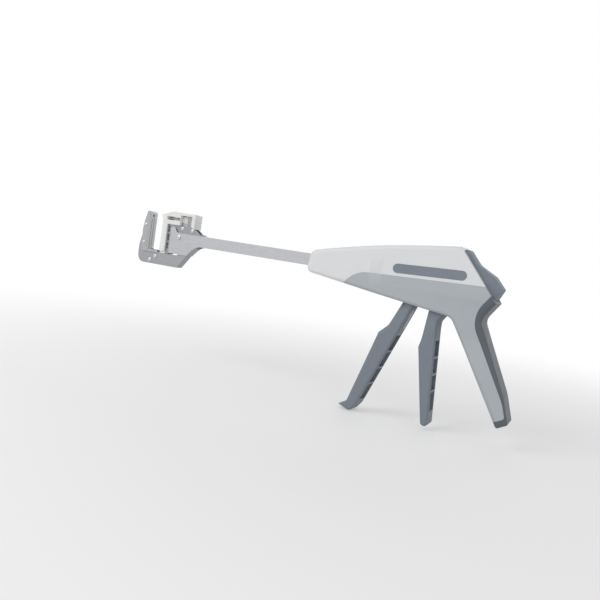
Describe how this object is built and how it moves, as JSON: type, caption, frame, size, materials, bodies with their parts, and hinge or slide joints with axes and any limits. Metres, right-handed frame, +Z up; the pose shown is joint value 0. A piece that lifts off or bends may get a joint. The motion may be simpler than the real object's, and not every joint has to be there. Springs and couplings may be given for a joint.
{
  "type": "linear surgical stapler",
  "caption": "Hand-held linear surgical stapler with an open C-shaped jaw, slim flat shaft, pistol grip and two nested triggers that close the cartridge and fire the staples.",
  "frame": {"origin": "middle of the pistol grip, on the middle plane", "axes": "+X along the shaft from the jaw to the grip; +Y across, to the right of a user who holds the grip with the jaw pointing away; +Z up, from the triggers to the top of the handle"},
  "size_m": [0.3592, 0.03, 0.1412],
  "materials": {
    "shell_white": "satin moulded white",
    "grip_grey": "fine moulded grain, pale grey",
    "strap_grey": "soft matte grey",
    "inlay_grey": "matte grey",
    "trigger_grey": "fine moulded grain, grey",
    "button_grey": "fine moulded grain, grey",
    "jaw_steel": "brushed stainless",
    "bar_steel": "stamped stainless",
    "pin_steel": "turned stainless",
    "spring_steel": "drawn wire",
    "cartridge_white": "satin white",
    "deck_white": "smooth white",
    "slide_white": "natural white",
    "staple_metal": "bright titanium wire"
  },
  "bodies": {
    "frame": {"left_upper_shell": "shell_white", "right_upper_shell": "shell_white", "left_grip_shell": "grip_grey", "right_grip_shell": "grip_grey", "grip_backstrap": "strap_grey", "left_side_inlay": "inlay_grey", "right_side_inlay": "inlay_grey", "housing_screws": "pin_steel", "nose_dowels": "pin_steel", "closing_pivot_pin": "pin_steel", "button_pivot_pin": "pin_steel", "latch_pivot_pin": "pin_steel", "left_shaft_plate": "jaw_steel", "right_shaft_plate": "jaw_steel", "jaw_frame": "jaw_steel", "anvil": "jaw_steel", "anvil_rivets": "pin_steel", "jaw_rivets": "pin_steel", "guide_pin": "pin_steel", "closing_spring": "spring_steel", "button_spring": "spring_steel"},
    "closing_lever": {"closing_trigger": "trigger_grey", "left_closing_lever": "bar_steel", "right_closing_lever": "bar_steel", "drive_pin": "pin_steel", "firing_pivot_pin": "pin_steel", "firing_spring": "spring_steel"},
    "firing_lever": {"firing_trigger": "trigger_grey", "firing_lever": "bar_steel", "push_pin": "pin_steel"},
    "closure": {"left_closure_plate": "bar_steel", "right_closure_plate": "bar_steel", "holder_rivets": "pin_steel", "spring_collar": "slide_white", "cartridge_body": "cartridge_white", "cartridge_deck": "deck_white", "pin_guard": "cartridge_white"},
    "firing_slide": {"firing_bar": "bar_steel", "staple_driver": "cartridge_white", "staples": "staple_metal"},
    "retaining_slide": {"retaining_pin": "pin_steel", "pin_block": "slide_white"},
    "release": {"release_button": "button_grey"},
    "latch": {"closing_latch": "bar_steel"}
  },
  "joints": [
    {"name": "closing_hinge", "type": "hinge", "parent": "frame", "child": "closing_lever", "pos_m": [-0.038, 0, 0.0355], "axis": [0, -1, 0], "range_deg": [0, 26], "stiffness_Nm_per_rad": 0.6, "springref_deg": -17.19},
    {"name": "firing_hinge", "type": "hinge", "parent": "closing_lever", "child": "firing_lever", "pos_m": [-0.0485, 0, 0.0576], "axis": [0, -1, 0], "range_deg": [0, 16], "stiffness_Nm_per_rad": 0.5, "springref_deg": -11.46, "deforming": ["firing_spring"]},
    {"name": "closure_slide", "type": "slide", "parent": "frame", "child": "closure", "axis": [-1, 0, 0], "range_m": [0, 0.01441], "deforming": ["closing_spring"]},
    {"name": "firing_slide_move", "type": "slide", "parent": "closure", "child": "firing_slide", "axis": [-1, 0, 0], "range_m": [0, 0.00383], "deforming": ["staples"]},
    {"name": "retaining_slide_move", "type": "slide", "parent": "closure", "child": "retaining_slide", "axis": [-1, 0, 0], "range_m": [0, 0.00821]},
    {"name": "release_hinge", "type": "hinge", "parent": "frame", "child": "release", "pos_m": [-0.02242, 0, 0.06964], "axis": [0, 1, 0], "range_deg": [0, 5], "stiffness_Nm_per_rad": 0.2, "springref_deg": -5.73, "deforming": ["button_spring"]},
    {"name": "latch_hinge", "type": "hinge", "parent": "frame", "child": "latch", "pos_m": [-0.018, 0, 0.048], "axis": [0, -1, 0], "range_deg": [0, 6]}
  ],
  "couplings": [
    {"joint": "closure_slide", "follows": "closing_hinge", "m_per_rad": 0.031726},
    {"joint": "retaining_slide_move", "follows": "closing_hinge", "m_per_rad": 0.01807},
    {"joint": "firing_slide_move", "follows": "firing_hinge", "m_per_rad": 0.013696},
    {"joint": "latch_hinge", "follows": "release_hinge", "ratio": 1.2}
  ]
}
